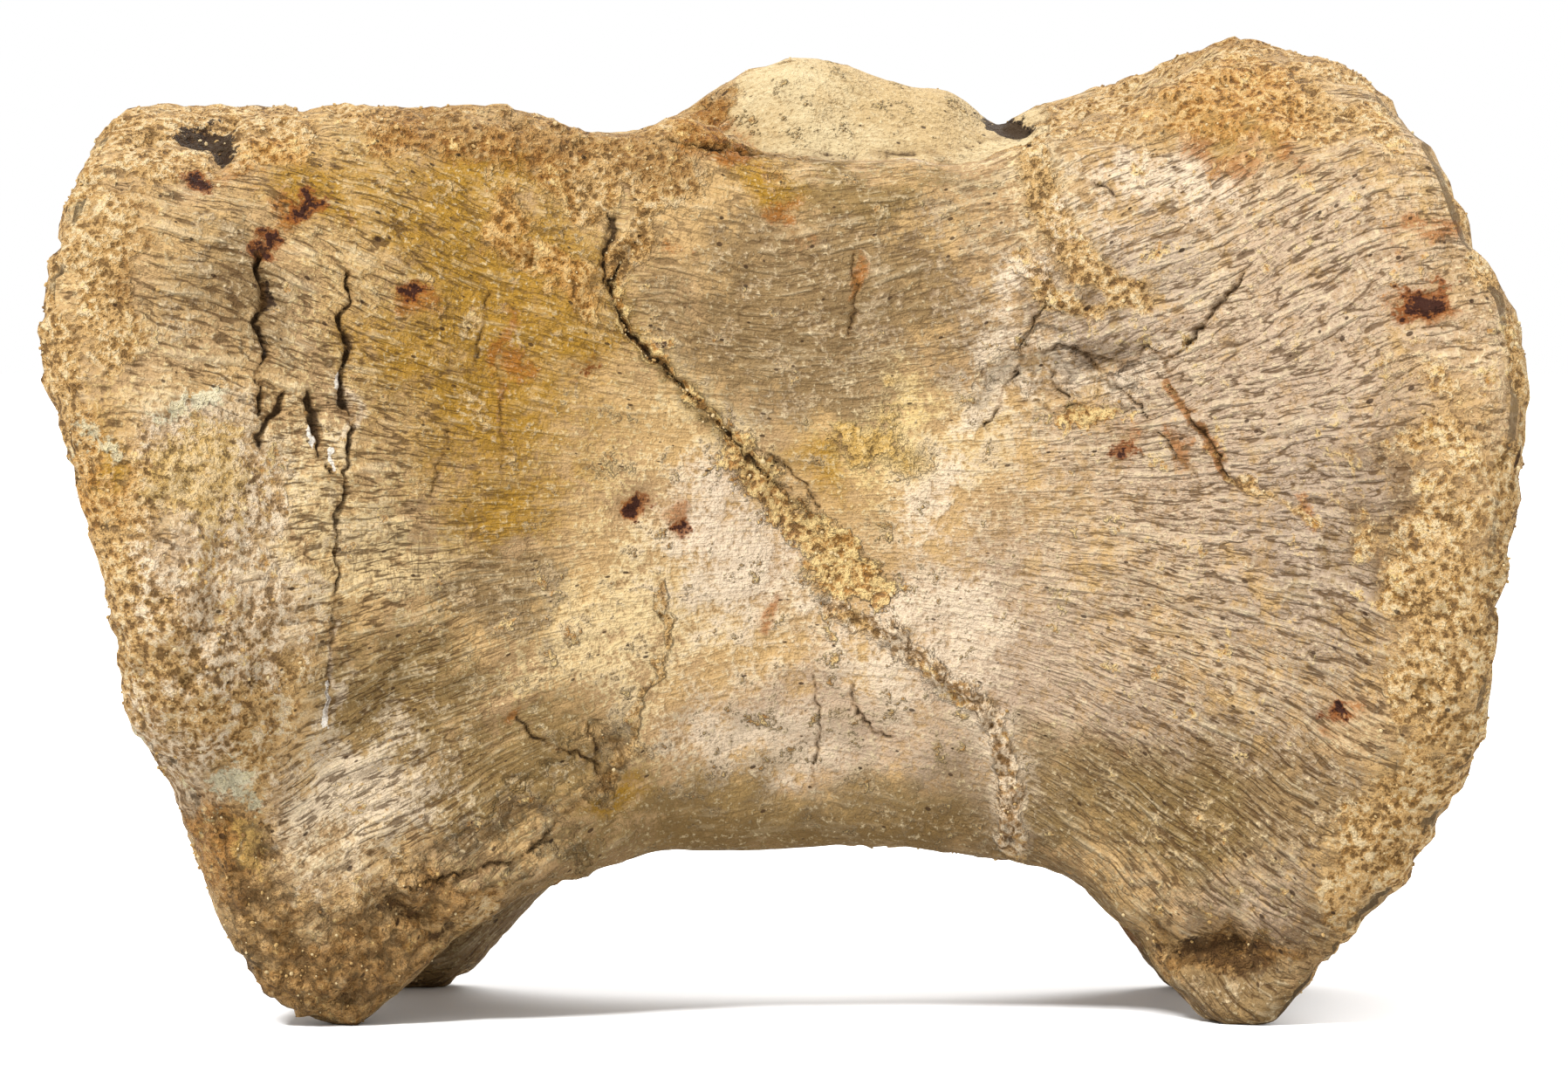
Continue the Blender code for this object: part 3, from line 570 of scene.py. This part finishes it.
def scatter_grains(bone, count, seed):
    """Loose sand stuck to the crumbled rims, the sandy patches, the fracture and the ends."""
    mesh = bone.data
    rng = np.random.default_rng(seed)
    points, normals = mesh_arrays(mesh)
    corners = np.zeros(len(mesh.polygons) * 3, int)
    mesh.polygons.foreach_get("vertices", corners)
    corners = corners.reshape(-1, 3)
    areas = np.zeros(len(mesh.polygons))
    mesh.polygons.foreach_get("area", areas)
    sticky = np.zeros(len(points))
    for name, pull in (("crumble", 1.0), ("sand", 3.2), ("dish", 0.25)):
        values = np.zeros(len(points), np.float32)
        mesh.attributes[name].data.foreach_get("value", values)
        sticky = np.maximum(sticky, pull * values**2)
    chance = areas * sticky[corners].mean(axis=1)
    faces = rng.choice(len(corners), count, p=chance / chance.sum())
    blend = rng.dirichlet((1.0, 1.0, 1.0), count)
    middles = np.einsum("nk,nkd->nd", blend, points[corners[faces]])
    outward = np.einsum("nk,nkd->nd", blend, normals[corners[faces]])

    bm = bmesh.new()
    bmesh.ops.create_icosphere(bm, subdivisions=1, radius=1.0)
    ball = np.array([v.co for v in bm.verts])
    ball_faces = np.array([[v.index for v in f.verts] for f in bm.faces])
    bm.free()
    sizes = GRAIN_LEAST + GRAIN_SPREAD * rng.random(count) ** 2.5
    turns = np.linalg.qr(rng.normal(size=(count, 3, 3)))[0]
    stretch = rng.uniform(*GRAIN_STRETCH, (count, 3))
    shaped = np.einsum("vd,nd,nde->nve", ball, stretch, turns) * sizes[:, None, None]
    shaped += (middles + outward * sizes[:, None] * GRAIN_STANDING)[:, None, :]
    places = shaped.reshape(-1, 3)
    places[:, 2] = np.maximum(places[:, 2], 0.0)
    rows = (ball_faces[None] + (np.arange(count) * len(ball))[:, None, None]).reshape(-1, 3)
    made = bpy.data.meshes.new("sand_grains")
    made.from_pydata((places * MM).tolist(), [], rows.tolist())
    set_attribute(made, "tint", np.repeat(rng.random(count), len(ball)))
    grains = bpy.data.objects.new("sand_grains", made)
    bpy.context.scene.collection.objects.link(grains)
    return grains


def hue(code):
    """The paint that shows as a web colour, such as B39A6B, in this studio's light."""
    parts = [int(code[k : k + 2], 16) / 255 for k in (0, 2, 4)]
    return (*[STUDIO_SHARE * ((p + 0.055) / 1.055) ** 2.4 for p in parts], 1.0)


class Level:
    """A number that varies over a surface. Sums and products of it add nodes to its finish."""

    def __init__(self, finish, socket):
        self.finish, self.socket = finish, socket

    def _with(self, operation, first, second):
        return self.finish.node("ShaderNodeMath", {0: first, 1: second}, operation=operation)

    def __add__(self, other):
        return self._with("ADD", self, other)

    def __mul__(self, other):
        return self._with("MULTIPLY", self, other)

    def __sub__(self, other):
        return self._with("SUBTRACT", self, other)

    def __rsub__(self, other):
        return self._with("SUBTRACT", other, self)

    def off(self, other):
        """How far this level is from another, whichever is higher."""
        return self._with("ABSOLUTE", self - other, 0.0)

    def twin(self, output):
        """Another output of the same node."""
        return Level(self.finish, self.socket.node.outputs[output])

    def larger(self, other):
        """The higher of this level and another."""
        return self._with("MAXIMUM", self, other)

    __radd__ = __add__
    __rmul__ = __mul__


class Finish:
    """A material that is put together node by node."""

    def __init__(self, name):
        self.material = bpy.data.materials.new(name)
        self.material.use_nodes = True
        self.tree = self.material.node_tree
        self.shader = self.tree.nodes["Principled BSDF"]

    def node(self, kind, inputs=(), output=0, **settings):
        """Adds a node with these settings, then these socket values or links."""
        made = self.tree.nodes.new(kind)
        for name, value in settings.items():
            setattr(made, name, value)
        for socket, value in dict(inputs).items():
            self.feed(made.inputs[socket], value)
        return Level(self, made.outputs[output])

    def feed(self, socket, value):
        """Links a level or vector to a socket, or sets the socket to a constant."""
        if isinstance(value, Level):
            self.tree.links.new(value.socket, socket)
        else:
            socket.default_value = value

    def attribute(self, name, output="Fac"):
        """What the mesh keeps under this name, as a level or a vector."""
        return self.node("ShaderNodeAttribute", output=output, attribute_name=name)

    def place(self):
        """The point on the surface, in millimetres."""
        metres = self.node("ShaderNodeTexCoord", output="Object")
        return self.scaled(metres, (1000.0, 1000.0, 1000.0))

    def scaled(self, vector, factors):
        """A vector, stretched by a factor along each of its axes."""
        return self.node("ShaderNodeVectorMath", {0: vector, 1: factors}, operation="MULTIPLY")

    def cloud(self, vector, size, detail, roughness):
        """Noise from 0 to 1 with lumps of about this size."""
        sockets = {
            "Vector": vector, "Scale": 1.0 / size, "Detail": detail, "Roughness": roughness,
        }
        return self.node("ShaderNodeTexNoise", sockets)

    def cells(self, vector, size):
        """The distance to the middle of the nearest cell of about this size."""
        sockets = {"Vector": vector, "Scale": 1.0 / size}
        return self.node("ShaderNodeTexVoronoi", sockets, "Distance")

    def step(self, level, low, high):
        """A smooth step from 0 at low to 1 at high."""
        sockets = {"Value": level, "From Min": low, "From Max": high}
        return self.node("ShaderNodeMapRange", sockets, interpolation_type="SMOOTHSTEP")

    def blend(self, share, first, second, way="MIX"):
        """The first colour, and this share of the second. Sockets 6, 7 and 2 are for colours."""
        sockets = {"Factor": share, 6: first, 7: second}
        return self.node("ShaderNodeMix", sockets, 2, data_type="RGBA", blend_type=way)

    def bump(self, height, share):
        """A normal for this height, given in millimetres, taken at this share."""
        sockets = {"Height": height, "Distance": MM, "Strength": share}
        return self.node("ShaderNodeBump", sockets)


class BoneFinish(Finish):
    """The bone's finish in layers, with the noises and masks that several of them share."""

    def __init__(self, name):
        super().__init__(name)
        place = self.place()
        self.fibre = self.attribute("fibre", "Vector")
        self.drift = self.cloud(place, 7.0, 3.0, 0.55)
        self.mottle = self.cloud(place, 2.2, 4.0, 0.72)
        self.speckle = self.cloud(place, 0.40, 2.0, 0.7)
        self.grit = self.cloud(place, 0.58, 3.0, 0.62)
        self.crumb = self.cells(place, 1.0)
        self.patchy, self.specked = self.mottle - 0.5, self.speckle - 0.5

        self.strand = self.cloud(self.scaled(self.fibre, (0.16, 1.0, 1.0)), 0.7, 2.0, 0.6)
        self.thread = self.cloud(self.scaled(self.fibre, (0.22, 1.0, 1.0)), 0.3, 2.0, 0.6)
        self.woven = self.strand * 0.5 + self.thread * 0.5
        self.crease = self.strand.off(0.5)
        self.ridged = self.attribute("ridged")

        self.chunky = self.frayed(self.attribute("chunky"), 1.2)
        self.chunks = self.step(self.chunky, 0.3, 0.6)
        self.sandy = self.step(self.frayed(self.attribute("sand"), 3.0, 0.8), 0.3, 0.6)
        crusty = self.step(self.frayed(self.attribute("crumble"), 1.6, 0.5), 0.25, 0.65)
        self.crusted = crusty.larger(self.sandy)
        self.bare = 1.0 - self.crusted

    def frayed(self, level, patches=0.0, specks=0.0):
        """This level, with edges broken up by ragged patches and by fine specks."""
        if patches:
            level = level + self.patchy * patches
        if specks:
            level = level + self.specked * specks
        return level

    def stained_and_shaded(self, colour, name, tint, amount, edge=1.0, low=0.2, high=0.75):
        """The colour, mixed towards this tint where the attribute of that name is strong. Most
        attributes are stains; the masks of shaded hollows, edges and downward-facing parts paint
        shade.
        """
        level = self.frayed(self.attribute(name), 2.0 * edge, edge)
        return self.blend(self.step(level, low, high) * amount, colour, hue(tint))

    def ground(self):
        """Pinkish tan bone with a ragged cream film, its wide stains, painted shade on its shaded
        and downward-facing parts, and its cream break.
        """
        colour = self.blend(self.step(self.drift, 0.38, 0.62), hue("CAA56E"), hue("B8966A"))
        film = self.frayed(self.mottle, specks=0.9) + (self.drift - 0.5) * 0.3
        colour = self.blend(self.step(film, 0.5, 0.6) * 0.6, colour, hue("E8CC8E"))
        colour = self.stained_and_shaded(colour, "film", "EDD29C", 0.6, 1.8, 0.3, 0.8)
        colour = self.stained_and_shaded(colour, "taupe", "8A704A", 0.88)
        colour = self.stained_and_shaded(colour, "rosy", "C0AA96", 0.7, 1.6, 0.0, 1.0)
        colour = self.stained_and_shaded(colour, "olive", "826838", 0.75)
        colour = self.stained_and_shaded(colour, "ochre", "A67A14", 0.9, 1.1, 0.05, 0.95)
        colour = self.stained_and_shaded(colour, "gilt", "E8C884", 0.65, 1.6, 0.2, 0.9)
        colour = self.stained_and_shaded(colour, "pale", "ECD6B8", 0.75, 1.6, 0.1, 1.0)
        # Painted shade in the hollow inside the right rim, on the shaded lower parts and under the
        # cream break.
        colour = self.stained_and_shaded(colour, "painted_shade", "6C5232", 0.65)
        # Painted shade on the downward-facing parts.
        colour = self.stained_and_shaded(colour, "under", "684E26", 0.6)
        facet = self.step(self.frayed(self.drift, specks=0.5), 0.4, 0.7)
        facet = self.blend(facet, hue("C4A878"), hue("D2BC90"))
        colour = self.blend(self.attribute("cream"), colour, facet)
        colour = self.stained_and_shaded(colour, "rust", "A0601C", 0.78, 1.2, 0.45, 0.95)
        colour = self.blend(self.step(self.speckle, 0.45, 0.28) * 0.5, colour, hue("7A5E38"))
        return self.blend(self.step(self.speckle, 0.56, 0.72) * 0.4, colour, hue("F2DDB0"))

    def crust(self):
        """Grains and crumbs of cream, pinkish white, amber and brown, with painted shade in the
        gaps between them.
        """
        crust = self.blend(self.step(self.grit, 0.4, 0.5), hue("A0743A"), hue("CDA468"))
        creamy = self.step(self.frayed(self.grit, 0.7), 0.5, 0.64)
        crust = self.blend(creamy, crust, hue("EACFA0"))
        pinkish = self.blend(self.step(self.grit, 0.42, 0.58), hue("B08C60"), hue("F6E0C2"))
        pale = self.step(self.frayed(self.attribute("pale"), 2.6), 0.3, 0.6)
        crust = self.blend(pale * 0.7, crust, pinkish)
        tint = self.crumb.twin("Color")
        crumbs = self.blend(self.step(tint, 0.3, 0.7), hue("A4783A"), hue("E8C086"))
        crust = self.blend(self.step(self.chunky + (tint - 0.5), 0.3, 0.6) * 0.65, crust, crumbs)
        umber = self.step(self.frayed(self.attribute("umber"), 2.2), 0.2, 0.8)
        crust = self.blend(umber * 0.9, crust, (0.60, 0.49, 0.34, 1.0), "MULTIPLY")
        amber = self.step(self.frayed(self.attribute("ochre"), 2.4), 0.2, 0.8)
        crust = self.blend(amber * 0.8, crust, (0.92, 0.74, 0.46, 1.0), "MULTIPLY")
        crust = self.stained_and_shaded(crust, "gilt", "E8BE62", 0.5, 1.4)
        golden = self.blend(self.step(self.grit, 0.38, 0.58), hue("B47C34"), hue("F2D08C"))
        golden = self.blend(self.step(self.mottle, 0.5, 0.4) * 0.4, golden, hue("96641E"))
        crust = self.blend(self.sandy, crust, golden)
        # Painted shade in the gaps between the grains and between the crumbs.
        gap = self.step(self.frayed(self.grit, 0.7, 0.4), 0.46, 0.34)
        gap = gap.larger(self.step(self.frayed(self.crumb, specks=0.3), 0.45, 0.7) * self.chunks)
        return self.blend(gap * 0.7, crust, hue("523818"))

    def grained(self, colour):
        """The colour, with dark lines along the grain that are partly its own and partly painted
        crevice shade, a painted highlight on its ridges, and breaks across.
        """
        # Dark lines along the grain: partly the grain's own darker lines, partly painted shade in
        # the crevices between the fibres.
        grain_and_crevice_shade = self.step(self.crease + (self.thread - 0.5) * 0.16, 0.03, 0.004)
        hair = self.step(self.thread.off(0.5), 0.035, 0.005) * self.step(self.strand, 0.56, 0.48)
        grain_and_crevice_shade = grain_and_crevice_shade.larger(hair * 0.7).larger(self.step(self.woven, 0.46, 0.36) * 0.4)
        grain_and_crevice_shade = grain_and_crevice_shade * (0.12 + 0.66 * self.ridged) * self.bare
        colour = self.blend(grain_and_crevice_shade, colour, hue("54391A"))
        # Painted highlight on the ridges between the crevices.
        ridge = self.step(self.woven, 0.52, 0.66) * self.step(self.crease, 0.02, 0.08) * self.bare
        colour = self.blend(ridge * (0.12 + 0.2 * self.ridged), colour, hue("EEDAB2"))
        across = self.cloud(self.scaled(self.fibre, (1.0, 0.22, 0.22)), 0.8, 2.0, 0.5)
        crazed = self.step(self.frayed(self.attribute("crazed"), 2.6), 0.5, 0.8) * self.bare
        breaks = self.step(across.off(0.5), 0.03, 0.006) * crazed
        return self.blend(breaks * 0.4, colour, hue("5A4226"))

    def pored(self, colour):
        """The colour, with small dark dots and slits drawn out along the grain."""
        pit_cell = self.cells(self.scaled(self.fibre, (0.55, 1.0, 1.0)), 0.72)
        chance = pit_cell.twin("Color")
        pore = self.step(pit_cell - 0.18 * chance * chance, 0.05, 0.0)
        return self.blend(pore * 0.85, colour, hue("38220E"))

    def spotted(self, colour):
        """The colour, with rusty-rimmed iron spots, pits, hollows, chalk slivers and cracks."""
        colour = self.stained_and_shaded(colour, "maroon", "844818", 0.85, 0.9, 0.38, 0.62)
        colour = self.stained_and_shaded(colour, "maroon", "2E120C", 0.92, 1.1, 0.62, 0.82)
        colour = self.stained_and_shaded(colour, "pit", "301E10", 0.95, 0.8, 0.42, 0.58)
        colour = self.stained_and_shaded(colour, "hollow", "4E3418", 0.8, 1.1, 0.5, 0.8)
        colour = self.stained_and_shaded(colour, "chalk", "EFE6D8", 0.9, 0.6, 0.4, 0.6)
        lip = self.step(self.frayed(self.attribute("lip"), specks=1.2), 0.4, 1.0)
        colour = self.blend(lip * 0.55, colour, hue("7A5526"))
        crack = self.step(self.frayed(self.attribute("crack"), specks=0.5), 0.3, 0.7)
        return self.blend(crack * 0.9, colour, hue("3C2812"))

    def height(self):
        """The finest relief, in millimetres: grain, specks, crumbs and the grains of the crust."""
        height = (self.crease * 1.3 + self.woven * 0.9) * self.bare * (0.25 + 0.75 * self.ridged)
        height = height + self.speckle * 0.28 + self.mottle * 0.6
        return height - self.chunks * self.crumb + self.crusted * (self.grit * 1.1)


def fossil_bone():
    """Dry fossil bone: fine lengthwise grain, pores, mineral stains, crust and cracks, with
    painted shade and highlights.
    """
    f = BoneFinish("fossil_bone")
    colour = f.blend(f.crusted * 0.9, f.ground(), f.crust())
    colour = f.stained_and_shaded(colour, "mint", "DEE0C0", 0.5, 1.6, 0.6, 1.0)
    colour = f.spotted(f.pored(f.grained(colour)))
    f.feed(f.shader.inputs["Base Color"], colour)
    f.feed(f.shader.inputs["Roughness"], 0.62 + 0.3 * f.mottle)
    f.feed(f.shader.inputs["Normal"], f.bump(f.height(), 1.0))
    f.shader.inputs["Specular IOR Level"].default_value = 0.12
    return f.material


def sand():
    """Grains of cream, amber and brown quartz sand, each with a tint of its own."""
    f = Finish("sand")
    tint = f.attribute("tint")
    colour = f.blend(f.step(tint, 0.1, 0.45), hue("8A6638"), hue("C49F64"))
    colour = f.blend(f.step(tint, 0.5, 0.9), colour, hue("DAC293"))
    f.feed(f.shader.inputs["Base Color"], colour)
    f.shader.inputs["Roughness"].default_value = 0.6
    f.shader.inputs["Specular IOR Level"].default_value = 0.15
    return f.material


def pale_floor():
    """A plain white floor that runs out to the horizon."""
    bm = bmesh.new()
    bmesh.ops.create_circle(bm, cap_ends=True, segments=FLOOR_CORNERS, radius=FLOOR_RADIUS * MM)
    mesh = bpy.data.meshes.new("floor")
    bm.to_mesh(mesh)
    bm.free()
    floor = bpy.data.objects.new("floor", mesh)
    bpy.context.scene.collection.objects.link(floor)
    f = Finish("floor_paint")
    f.shader.inputs["Base Color"].default_value = (0.82, 0.82, 0.82, 1.0)
    f.shader.inputs["Roughness"].default_value = 0.9
    mesh.materials.append(f.material)


def soft_sun(name, azimuth, elevation, strength, spread):
    """A soft far light from this direction: azimuth 0 comes from the better side."""
    lamp = bpy.data.lights.new(name, "SUN")
    lamp.energy, lamp.angle = strength, math.radians(spread)
    sun = bpy.data.objects.new(name, lamp)
    bpy.context.scene.collection.objects.link(sun)
    a, e = math.radians(azimuth), math.radians(elevation)
    back = Vector((math.sin(a) * math.cos(e), -math.cos(a) * math.cos(e), math.sin(e)))
    sun.rotation_euler = back.to_track_quat("Z", "Y").to_euler()


def studio():
    """White surroundings, a key light from the upper left and a weaker one from behind."""
    world = bpy.data.worlds.new("studio")
    world.use_nodes = True
    sky = world.node_tree.nodes["Background"]
    sky.inputs["Color"].default_value = (1.0, 1.0, 1.0, 1.0)
    sky.inputs["Strength"].default_value = 1.0
    scene = bpy.context.scene
    scene.world = world
    scene.view_settings.view_transform = "Standard"
    soft_sun("key", azimuth=-38.0, elevation=50.0, strength=5.8, spread=14.0)
    soft_sun("rear", azimuth=150.0, elevation=50.0, strength=3.0, spread=40.0)


def eye():
    """A far camera a little above the middle of the bone, as the photograph was taken."""
    camera = bpy.data.cameras.new("eye")
    camera.lens, camera.sensor_width = EYE_LENS, EYE_SENSOR
    holder = bpy.data.objects.new("eye", camera)
    bpy.context.scene.collection.objects.link(holder)
    aim = Vector((0.0, 0.0, EYE_AIM_HEIGHT * MM))
    back = Vector((0.0, -math.cos(EYE_ELEVATION), math.sin(EYE_ELEVATION)))
    holder.location = aim + back * EYE_DISTANCE * MM
    holder.rotation_euler = (-back).to_track_quat("-Z", "Y").to_euler()
    bpy.context.scene.camera = holder


def dress_bone(node):
    """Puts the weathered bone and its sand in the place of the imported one."""
    bone = evened_bone(node)
    refine_along_cracks(bone.data)
    weather_bone(bone.data)
    bone.data.materials.clear()
    bone.data.materials.append(fossil_bone())
    bone.data.shade_smooth()
    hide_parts("vertebra")
    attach(bone, "root")
    grains = scatter_grains(bone, GRAIN_COUNT, GRAIN_SEED)
    grains.data.materials.append(sand())
    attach(grains, "root")


for old in list(bpy.data.objects):
    bpy.data.objects.remove(old)
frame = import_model()
eye()
dress_bone(frame["nodes"]["vertebra"])
pale_floor()
studio()
